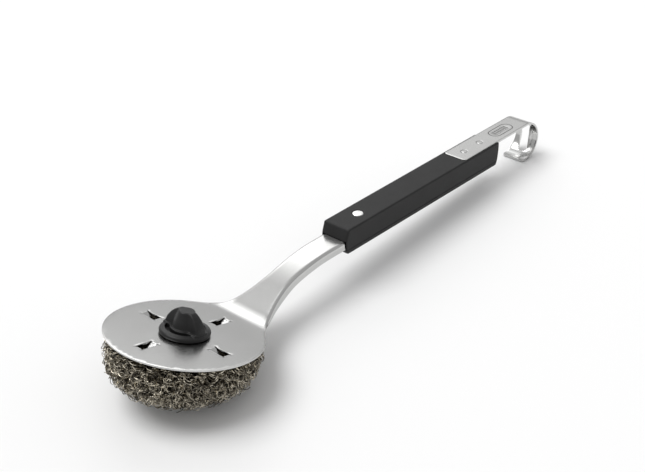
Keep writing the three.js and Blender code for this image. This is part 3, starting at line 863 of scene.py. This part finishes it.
def one_curl(seat, out, rng, radius):
    """One springy curl of flat ribbon: the four corners of its section at each step."""
    phase = np.linspace(0, 2 * math.pi * CURL_TURNS, CURL_TURNS * CURL_STEPS + 1)
    up = Vector((0, 0, 1)) - out * out.z
    up = up.normalized() if up.length > 0.2 else out.orthogonal().normalized()
    lean = rng.normal(0.8, 0.25)
    axis = Matrix.Rotation(rng.normal(0, 0.5), 3, out) @ (up * math.cos(lean) + out * math.sin(lean))
    side = np.array(axis.cross(out).normalized())
    out, axis = np.array(out), np.array(axis)
    face = np.cross(side, axis)
    size = radius * rng.uniform(0.7, 1.25)
    r = size * (1 + 0.16 * np.sin(phase * rng.uniform(0.3, 0.8) + rng.uniform(0, 6)))
    along = (phase / (2 * math.pi) - CURL_TURNS / 2) * CURL_PITCH * rng.uniform(0.75, 1.3)
    a = phase * rng.choice([-1, 1]) + rng.uniform(0, 6.28)
    sag = -(along**2) / (2 * PAD_R) + 0.35 * np.sin(along * 0.8 + rng.uniform(0, 6))
    radial = np.outer(np.cos(a), face) + np.outer(np.sin(a), side)
    middle = np.array(seat) + np.outer(along, axis) + np.outer(sag, out) + r[:, None] * radial
    middle += np.outer(0.5 * np.sin(along * 1.1 + rng.uniform(0, 6)), side)
    tilt = rng.uniform(-0.45, 0.45) + 0.3 * np.sin(phase * 0.7)
    wide = np.outer(np.cos(tilt), axis) + np.sin(tilt)[:, None] * radial
    thin = radial * np.cos(tilt)[:, None] - np.outer(np.sin(tilt), axis)
    w = RIBBON_W * rng.uniform(0.8, 1.2) / 2
    t = RIBBON_HALF_T
    return np.stack([middle + w * wide + t * thin, middle - w * wide + t * thin,
                     middle - w * wide - t * thin, middle + w * wide - t * thin], 1)


def keep_in_room(points):
    """Presses the points of curls that would cut the plate or the floor back inside."""
    points[:, 2] = np.minimum(points[:, 2], PAD_TOP - 0.05 - 0.1 * (points[:, 2] > PAD_TOP))
    lift = np.array(HEAD)
    height = (points @ lift[2, :3] + lift[2, 3]) / MM
    push = np.maximum(0.12 - height, 0)
    up = np.array((HEAD.to_3x3().inverted() @ Vector((0, 0, MM))))
    points += push[:, None] * up / np.linalg.norm(up)


def ribbon_faces(curl_count, rings):
    """Four sides along each curl of so many four-cornered rings, and a cap at each of its ends."""
    number = np.arange(curl_count)[:, None, None] * rings * 4
    step = np.arange(rings - 1)[None, :, None] * 4
    corner = np.arange(4)[None, None, :]
    after = (corner + 1) % 4
    sides = np.stack([number + step + corner, number + step + after,
                      number + step + 4 + after, number + step + 4 + corner], -1).reshape(-1, 4)
    first = number[:, 0, :] + np.array([3, 2, 1, 0])
    last = number[:, 0, :] + (rings - 1) * 4 + np.array([0, 1, 2, 3])
    return np.concatenate([sides, first, last])


def curls(name, seats, rng, radius):
    """A curl for each seat, joined in one mesh."""
    rings = np.array([one_curl(seat, out, rng, radius) for seat, out in seats])
    points = rings.reshape(-1, 3)
    keep_in_room(points)
    return mesh_of(name, points, ribbon_faces(len(seats), rings.shape[1]))


def build_pad():
    rng = np.random.default_rng(7)
    span = steps((-50, 52, 1.2))
    # The core is painted shade: a dark body where the inside of the pad would only be in shade.
    core = skin("scouring_pad_core", pad_core_field, span, span, steps((-44, 0, 1.2)))
    add_piece("scouring_pad_core", core, HEAD, "clamp", PAD_SHADE, ["scouring_pad"], sharp=180)
    for layer, (row_step, side_step, depth, radius) in enumerate(CURL_LAYERS):
        seats = [s for s in curl_seats(rng, row_step, side_step, depth) if seat_is_free(s[0])]
        for part in range(CURL_PARTS):
            name = f"scouring_pad_curls_{layer * CURL_PARTS + part + 1}"
            mesh = curls(name, seats[part::CURL_PARTS], rng, radius)
            add_piece(name, mesh, HEAD, "clamp", WIRE, sharp=60)


def seat_is_free(point):
    """A curl has room unless it would lie in the plate, the floor or the recess round the clamp."""
    height = (HEAD @ point).z / MM
    return point.z < PAD_TOP - 1.2 and height > -7 and math.hypot(point.x, point.y) > RECESS_R + 2.2


# ---------------- handle
def handle_outer(s, y, t):
    """The whole handle's outside: a tapered section between a leaning nose and a leaning tail."""
    taper = 0.5 * np.clip((PART_T - t) / 2.8, 0, 1)
    section = rounded_box(np.abs(y) + taper, t + HANDLE_H / 2, HANDLE_W, HANDLE_H / 2, 1.1)
    nose, *lower = [half_plane(s, t, *below, *above) for above, below in zip(NOSE, NOSE[1:])]
    for face in lower:
        nose = smooth_max(nose, face, 0.8)
    tail = half_plane(s, t, HANDLE_L, -7, HANDLE_L - 2.2, -HANDLE_H)
    tail = smooth_max(tail, s - HANDLE_L, 1.0)
    return smooth_max(smooth_max(section, nose, 1.2), tail, 2.0)


def box_field(s, y, t, s0, s1, half, t0, t1):
    """Distance to a box centred on the handle's middle plane."""
    return np.maximum(np.maximum(slab(s, s0, s1), np.abs(y) - half), slab(t, t0, t1))


def post_field(s, y, t, centre, r, t0, t1):
    """Distance to an upright round post."""
    return np.maximum(np.hypot(s - centre, y) - r, slab(t, t0, t1))


def strip_seat(s, y, clearance):
    """Plan of the strip's seat: round front corners, and straight sides that run past the handle."""
    half_length = 60.0
    middle = s - STRIP_S - half_length
    return rounded_box(middle, y, half_length + clearance, STRIP_W + clearance, 3 + clearance)


def upper_shell_field(s, y, t):
    """The handle above the seam, hollowed for the tang and rivets, with the strip's seat in its top."""
    shell = smooth_max(handle_outer(s, y, t), PART_T - t, 0.3)
    cavity = box_field(s, y, t, 11, HANDLE_L - WALL, HANDLE_W - WALL, PART_T - 2, -2.9)
    mouth = box_field(s, y, t, -9, 8.6, MOUTH_W + GAP, PART_T - 2, TANG_T + GAP)
    tang = box_field(s, y, t, 8, 12, 6.8, PART_T - 2, TANG_T + GAP)
    shell = np.maximum(shell, -np.minimum(np.minimum(cavity, mouth), tang))
    for centre, _, _ in RIVETS.values():
        shell = np.minimum(shell, post_field(s, y, t, centre, BOSS_R, TANG_T + GAP, -2.4))
    seat = np.maximum(strip_seat(s, y, 0.18), STRIP_T - SHEET - GAP - t)
    shell = np.maximum(shell, -seat)
    for centre, top, head_r in RIVETS.values():
        hole = post_field(s, y, t, centre, RIVET_TUBE_R + GAP, -20, 5)
        head = post_field(s, y, t, centre, head_r + 0.12, top - 1 - GAP, 5)
        shell = np.maximum(shell, -np.minimum(hole, head))
    return shell


def lower_shell_field(s, y, t):
    """The handle's bottom cover, hollowed, with bosses for the rivets."""
    shell = smooth_max(handle_outer(s, y, t), t - PART_T + SEAM, 0.3)
    inside = HANDLE_W - WALL - 0.8
    shell = np.maximum(shell, -box_field(s, y, t, 11, HANDLE_L - WALL, inside, -HANDLE_H + 2.4, 0))
    for centre, _, _ in RIVETS.values():
        boss = post_field(s, y, t, centre, BOSS_R, -HANDLE_H + 2, TANG_T - SHEET - GAP)
        shell = np.minimum(shell, boss)
    for centre, _, _ in RIVETS.values():
        tube = post_field(s, y, t, centre, RIVET_TUBE_R + GAP, -12.6, 0)
        pin = post_field(s, y, t, centre, RIVET_PIN_R + GAP, -25, 0)
        head = post_field(s, y, t, centre, RIVET_BASE_R + 0.15, -25, -HANDLE_H + 1 + GAP)
        shell = np.maximum(shell, -np.minimum(np.minimum(tube, pin), head))
    return shell


def build_handle():
    fine = 0.4  # the plain stretches between the nose, the rivets and the strip's end have fewer cells
    along = steps((-4.2, 10, fine), (10, 17, 1.0), (17, 27, fine), (27, 129, 3.0), (129, 136, fine),
                  (136, 138, 1.0), (138, 148, fine), (148, 157, 1.5), (157, 173.6, fine))
    across = steps((-12, 12, fine))
    mesh = skin("handle_upper_shell", upper_shell_field, along, across, steps((-15.3, 0.9, fine)))
    add_piece("handle_upper_shell_moulding", mesh, HANDLE, "frame", HANDLE_BLACK,
              ["handle_upper_shell"], sharp=60)
    mesh = skin("handle_lower_shell", lower_shell_field, along, across, steps((-19.3, -9.4, fine)))
    add_piece("handle_lower_shell_moulding", mesh, HANDLE, "frame", HANDLE_BLACK,
              ["handle_lower_shell"], sharp=60)


def rivet_tube(name, top, head_r):
    outline = [(0, top - 0.03), (head_r - 0.35, top), (head_r, top - 0.3), (head_r, top - 1)]
    outline += [(RIVET_TUBE_R, top - 1), (RIVET_TUBE_R, -12.3), (RIVET_PIN_R + GAP, -12.3)]
    outline += [(RIVET_PIN_R + GAP, -4), (0, -4)]
    return lathe(name, outline, 64)


def rivet_pin(name):
    base = -HANDLE_H
    outline = [(0, -5), (RIVET_PIN_R - 0.3, -5), (RIVET_PIN_R, -5.4), (RIVET_PIN_R, base + 1)]
    outline += [(RIVET_BASE_R, base + 1), (RIVET_BASE_R, base + 0.35), (RIVET_BASE_R - 0.5, base), (0, base)]
    return lathe(name, outline, 64)


def build_rivets():
    for name, (centre, top, head_r) in RIVETS.items():
        place = HANDLE @ Matrix.Translation((centre, 0, 0))
        tube = rivet_tube(f"{name}_rivet_tube", top, head_r)
        steel = RIVET if name == "front" else STEEL
        add_piece(f"{name}_rivet_tube_turned", tube, place, "frame",
                  steel, [f"{name}_rivet_tube"], 0.08, 20)
        add_piece(f"{name}_rivet_pin_turned", rivet_pin(f"{name}_rivet_pin"), place, "frame",
                  RIVET, [f"{name}_rivet_pin"], 0.08)


# ---------------- hanger strip
CURL = HOOK_R * HOOK_SWEEP


def place_on_strip(u, v, depth):
    """u runs along the strip and round the hook's outside, v across it."""
    straight = u - HOOK_S
    a = np.maximum(straight, 0) / HOOK_R
    centre = STRIP_T - HOOK_R
    s = np.where(straight > 0, HOOK_S + (HOOK_R - depth) * np.sin(a), u)
    t = np.where(straight > 0, centre + (HOOK_R - depth) * np.cos(a), STRIP_T - depth)
    return np.stack([s, v, t], 1)


def stadium(u0, u1, half, r=None, count=10):
    """A slot outline from u0 to u1, with round ends or round corners."""
    r = half if r is None else r
    top = arc(u1 - r, half - r, r, math.pi / 2, 0, count) + arc(u1 - r, -half + r, r, 0, -math.pi / 2, count)
    end = arc(u0 + r, -half + r, r, -math.pi / 2, -math.pi, count)
    end += arc(u0 + r, half - r, r, math.pi, math.pi / 2, count)
    loop = top + end
    return [p for i, p in enumerate(loop) if math.dist(p, loop[i - 1]) > 1e-6]


def strip_outline():
    """The flat blank's outline: two round front corners, and two at the hook's tip."""
    tip = HOOK_S + CURL
    half = arc(STRIP_S + 3, STRIP_W - 3, 3, math.pi, math.pi / 2, 10)
    half += [(u, STRIP_W) for u in np.arange(STRIP_S + 5, tip - 3, 2.0)]
    half += arc(tip - 2.4, STRIP_W - 2.4, 2.4, math.pi / 2, 0, 6)
    return half + [(u, -v) for u, v in reversed(half)]


def badge_marks():
    """A plain engraved border round a row of short bars."""
    marks = [(stadium(BADGE_START, BADGE_END, BADGE_W), ENGRAVED)]
    marks += [(stadium(BADGE_START + BADGE_LINE, BADGE_END - BADGE_LINE, BADGE_W - BADGE_LINE), 0.0)]
    for k in range(BAR_COUNT):
        start = BAR_START + BAR_PITCH * k
        marks.append((stadium(start, start + BAR_L, BAR_W, 0.3, 2), ENGRAVED))
    return marks


def grown(loop, share):
    """A loop enlarged about its middle."""
    cu = sum(p[0] for p in loop) / len(loop)
    return [(cu + (u - cu) * share, v * share) for u, v in loop]


def build_strip():
    holes = [stadium(HOOK_S + WINDOW_START, HOOK_S + WINDOW_END, WINDOW_W)]
    for name in ("middle", "rear"):
        centre, _, head_r = RIVETS[name]
        holes.append(arc(centre, 0, head_r + 0.06, 0, 2 * math.pi, 32)[:-1])
    marks = badge_marks()
    avoid = holes + [grown(marks[0][0], 1.06)]
    seeds = []
    for u in np.arange(STRIP_S + 2, HOOK_S + CURL - 1, 1.5):
        for v in np.arange(-8.5, 8.6, 1.7):
            seeds.append((u, v))
    seeds = [p for p in seeds if not in_any_loop(p, avoid)]
    mesh = sheet_solid("hanger_strip", strip_outline(), holes, seeds, place_on_strip, SHEET, marks)
    add_piece("hanger_strip_bent", mesh, HANDLE, "frame", (STEEL, ETCHED),
              ["hanger_strip"], 0.15, 25)


# ---------------- stage
# Lengths from here on are metres, but for the lens.
FLOOR_HALF = 6.0
WORLD_STRENGTH = 0.56

# The sun's heading, elevation, strength and apparent angle, then for each panel its heading, elevation,
# distance, width, height and radiance. The panels are nested, which softens the edge of their reflection.
KEY = (-35, 66, 1.75, 40)
PANELS = {
    "wide": (40, 35.5, 2.2, 1.7, 1.3, 0.42),
    "middle": (36, 34, 2.19, 1.2, 1.05, 0.6),
    "inner": (36, 34, 2.18, 0.8, 0.7, 0.9),
}

# The camera looks at a point this far from the middle of the CAD's box.
CAMERA_OFFSET = (-0.0048, 0.0253, -0.0074)
CAMERA_HEADING, CAMERA_ELEVATION, CAMERA_ROLL = 45.69, 32.72, -4.46
CAMERA_DISTANCE, CAMERA_LENS = 0.9186, 73.36


def build_floor():
    half = FLOOR_HALF
    mesh = mesh_of("floor", [(-half, -half, 0), (half, -half, 0), (half, half, 0), (-half, half, 0)],
                   [(0, 1, 2, 3)])
    floor = bpy.data.objects.new("floor", mesh)
    bpy.context.scene.collection.objects.link(floor)
    material, _, _ = new_material("floor_white", (0.88, 0.88, 0.88), 0.0, 0.9, Specular_IOR_Level=0.1)
    mesh.materials.append(material)


def direction(heading, elevation):
    """Unit vector at a heading from +Y towards +X and an elevation above the horizon, in degrees."""
    h, e = math.radians(heading), math.radians(elevation)
    return Vector((math.sin(h) * math.cos(e), math.cos(h) * math.cos(e), math.sin(e)))


def place_light(data, heading, elevation, distance):
    """Puts a light out from the object in a direction, facing it."""
    light = bpy.data.objects.new(data.name, data)
    bpy.context.scene.collection.objects.link(light)
    light.location = direction(heading, elevation) * distance
    light.rotation_mode = "QUATERNION"
    light.rotation_quaternion = (-light.location).to_track_quat("-Z", "Y")


def add_sun(name, heading, elevation, strength, angle):
    data = bpy.data.lights.new(name, "SUN")
    data.energy = strength
    data.angle = math.radians(angle)
    place_light(data, heading, elevation, 1.0)


def add_panel(name, heading, elevation, distance, width, height, radiance):
    """An area light, as bright as a surface of that radiance."""
    data = bpy.data.lights.new(name, "AREA")
    data.shape = "RECTANGLE"
    data.size, data.size_y = width, height
    data.energy = radiance * math.pi * width * height
    place_light(data, heading, elevation, distance)


def build_lights():
    world = bpy.data.worlds.new("studio")
    bpy.context.scene.world = world
    world.use_nodes = True
    background = world.node_tree.nodes["Background"]
    background.inputs["Color"].default_value = (1, 1, 1, 1)
    background.inputs["Strength"].default_value = WORLD_STRENGTH
    add_sun("key", *KEY)
    for name, panel in PANELS.items():
        add_panel(f"back_panel_{name}", *panel)
    bpy.context.scene.view_settings.view_transform = "Standard"


def build_camera():
    low, high = CAD_BOX
    target = (low + high) / 2 + Vector(CAMERA_OFFSET)
    data = bpy.data.cameras.new("camera")
    data.sensor_width = 36.0
    data.lens = CAMERA_LENS
    data.clip_start, data.clip_end = 0.01, 50
    camera = bpy.data.objects.new("camera", data)
    bpy.context.scene.collection.objects.link(camera)
    look = -direction(CAMERA_HEADING + 180, CAMERA_ELEVATION)
    roll = Matrix.Rotation(math.radians(CAMERA_ROLL), 4, "Z")
    turn = look.to_track_quat("-Z", "Y").to_matrix().to_4x4() @ roll
    camera.matrix_world = Matrix.Translation(target - look * CAMERA_DISTANCE) @ turn
    bpy.context.scene.camera = camera


build_camera()
build_lights()
build_floor()
build_head_plate()
build_knob()
build_stud()
build_washer()
build_retaining_ring()
build_dish()
build_nut()
build_pad()
build_handle()
build_rivets()
build_strip()
